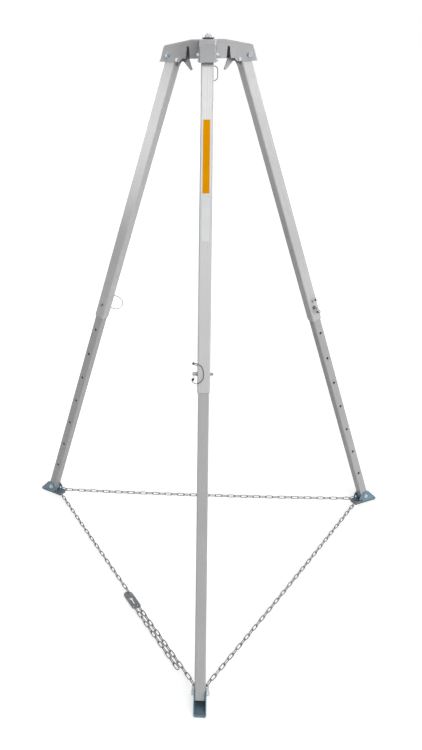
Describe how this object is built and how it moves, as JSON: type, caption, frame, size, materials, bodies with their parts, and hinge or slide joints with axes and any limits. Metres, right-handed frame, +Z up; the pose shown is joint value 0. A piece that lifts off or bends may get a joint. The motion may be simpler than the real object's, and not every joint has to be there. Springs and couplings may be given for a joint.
{
  "type": "rescue tripod",
  "caption": "Folding rescue tripod: sheet head with an anchor eye, hinged telescopic square legs with lock pins, tilting shoes and a chain loop that limits the spread.",
  "frame": {"origin": "on the floor, straight below the anchor eye", "axes": "+Z up along the drop line, -Y towards the front leg, +X to the right seen from the front"},
  "size_m": [1.684, 1.4584, 2.2148],
  "materials": {
    "grey_head": "satin grey coat on folded sheet",
    "alloy": "satin anodised extrusion",
    "zinc": "bright zinc plate",
    "blued_zinc": "blue zinc plate, darker inside the folds",
    "black_steel": "black oxide",
    "spring_steel": "oiled wire",
    "wire_rope": "fine stranded wire",
    "black_plastic": "moulded black",
    "rubber": "matt tread"
  },
  "bodies": {
    "head": {"head_housing": "grey_head", "anchor_eye": "zinc", "anchor_washer": "black_steel", "anchor_dome_nut": "zinc", "leg_pivot_bolts": "blued_zinc", "leg_pivot_nuts": "blued_zinc", "latch_bolts": "zinc", "latch_nuts": "zinc", "chain_right": "zinc", "chain_rear": "zinc", "chain_left": "zinc", "chain_tail": "zinc", "chain_shortener": "black_steel", "quick_link_nut": "zinc"},
    "leg_front": {"upper_tube_front": "alloy", "pivot_bushes_front": "black_plastic", "lanyard_eyelet_front": "zinc", "lanyard_front": "wire_rope", "rope_loop": "black_steel"},
    "stage_front": {"lower_tube_front": "alloy", "foot_bolt_front": "zinc", "foot_nut_front": "zinc"},
    "foot_front": {"foot_shoe_front": "blued_zinc", "foot_tread_front": "rubber", "chain_end_links_front": "zinc"},
    "pin_front": {"lock_pin_front": "zinc", "pin_ferrule_front": "black_steel"},
    "latch_front": {"latch_lever_front": "grey_head", "latch_spring_front": "spring_steel"},
    "leg_right": {"upper_tube_right": "alloy", "pivot_bushes_right": "black_plastic", "lanyard_eyelet_right": "zinc", "lanyard_right": "wire_rope"},
    "stage_right": {"lower_tube_right": "alloy", "foot_bolt_right": "zinc", "foot_nut_right": "zinc"},
    "foot_right": {"foot_shoe_right": "blued_zinc", "foot_tread_right": "rubber", "chain_end_links_right": "zinc"},
    "pin_right": {"lock_pin_right": "zinc", "pin_ferrule_right": "black_steel"},
    "latch_right": {"latch_lever_right": "grey_head", "latch_spring_right": "spring_steel"},
    "leg_left": {"upper_tube_left": "alloy", "pivot_bushes_left": "black_plastic", "lanyard_eyelet_left": "zinc", "lanyard_left": "wire_rope"},
    "stage_left": {"lower_tube_left": "alloy", "foot_bolt_left": "zinc", "foot_nut_left": "zinc"},
    "foot_left": {"foot_shoe_left": "blued_zinc", "foot_tread_left": "rubber", "chain_end_links_left": "zinc"},
    "pin_left": {"lock_pin_left": "zinc", "pin_ferrule_left": "black_steel"},
    "latch_left": {"latch_lever_left": "grey_head", "latch_spring_left": "spring_steel"}
  },
  "joints": [
    {"name": "fold_front", "type": "hinge", "parent": "head", "child": "leg_front", "pos_m": [0, -0.1605, 2.13634], "axis": [1, 0, 0], "range_deg": [0, 19.5], "deforming": ["chain_right", "quick_link_nut"]},
    {"name": "extend_front", "type": "slide", "parent": "leg_front", "child": "stage_front", "axis": [0, -0.3338, -0.9426], "range_m": [-0.816, 0]},
    {"name": "tilt_front", "type": "hinge", "parent": "stage_front", "child": "foot_front", "pos_m": [0, -0.89118, 0.04], "axis": [1, 0, 0], "range_deg": [-20, 20]},
    {"name": "pull_front", "type": "slide", "parent": "leg_front", "child": "pin_front", "axis": [-1, 0, 0], "range_m": [0, 0.07], "deforming": ["lanyard_front"]},
    {"name": "latch_turn_front", "type": "hinge", "parent": "head", "child": "latch_front", "pos_m": [0, -0.11896, 2.12034], "axis": [1, 0, 0], "range_deg": [0, 31.5]},
    {"name": "fold_right", "type": "hinge", "parent": "head", "child": "leg_right", "pos_m": [0.139, 0.08025, 2.13634], "axis": [-0.5, 0.866, 0], "range_deg": [0, 19.5], "deforming": ["chain_rear", "chain_shortener"]},
    {"name": "extend_right", "type": "slide", "parent": "leg_right", "child": "stage_right", "axis": [0.2891, 0.1669, -0.9426], "range_m": [-0.816, 0]},
    {"name": "tilt_right", "type": "hinge", "parent": "stage_right", "child": "foot_right", "pos_m": [0.77179, 0.44559, 0.04], "axis": [-0.5, 0.866, 0], "range_deg": [-20, 20]},
    {"name": "pull_right", "type": "slide", "parent": "leg_right", "child": "pin_right", "axis": [0.5, -0.866, 0], "range_m": [0, 0.07], "deforming": ["lanyard_right"]},
    {"name": "latch_turn_right", "type": "hinge", "parent": "head", "child": "latch_right", "pos_m": [0.10302, 0.05948, 2.12034], "axis": [-0.5, 0.866, 0], "range_deg": [0, 31.5]},
    {"name": "fold_left", "type": "hinge", "parent": "head", "child": "leg_left", "pos_m": [-0.139, 0.08025, 2.13634], "axis": [-0.5, -0.866, 0], "range_deg": [0, 19.5], "deforming": ["chain_left", "chain_tail"]},
    {"name": "extend_left", "type": "slide", "parent": "leg_left", "child": "stage_left", "axis": [-0.2891, 0.1669, -0.9426], "range_m": [-0.816, 0]},
    {"name": "tilt_left", "type": "hinge", "parent": "stage_left", "child": "foot_left", "pos_m": [-0.77179, 0.44559, 0.04], "axis": [-0.5, -0.866, 0], "range_deg": [-20, 20]},
    {"name": "pull_left", "type": "slide", "parent": "leg_left", "child": "pin_left", "axis": [0.5, 0.866, 0], "range_m": [0, 0.07], "deforming": ["lanyard_left"]},
    {"name": "latch_turn_left", "type": "hinge", "parent": "head", "child": "latch_left", "pos_m": [-0.10302, 0.05948, 2.12034], "axis": [-0.5, -0.866, 0], "range_deg": [0, 31.5]}
  ],
  "couplings": [
    {"joint": "latch_turn_front", "follows": "fold_front", "ratio": 1.6},
    {"joint": "latch_turn_right", "follows": "fold_right", "ratio": 1.6},
    {"joint": "latch_turn_left", "follows": "fold_left", "ratio": 1.6}
  ]
}
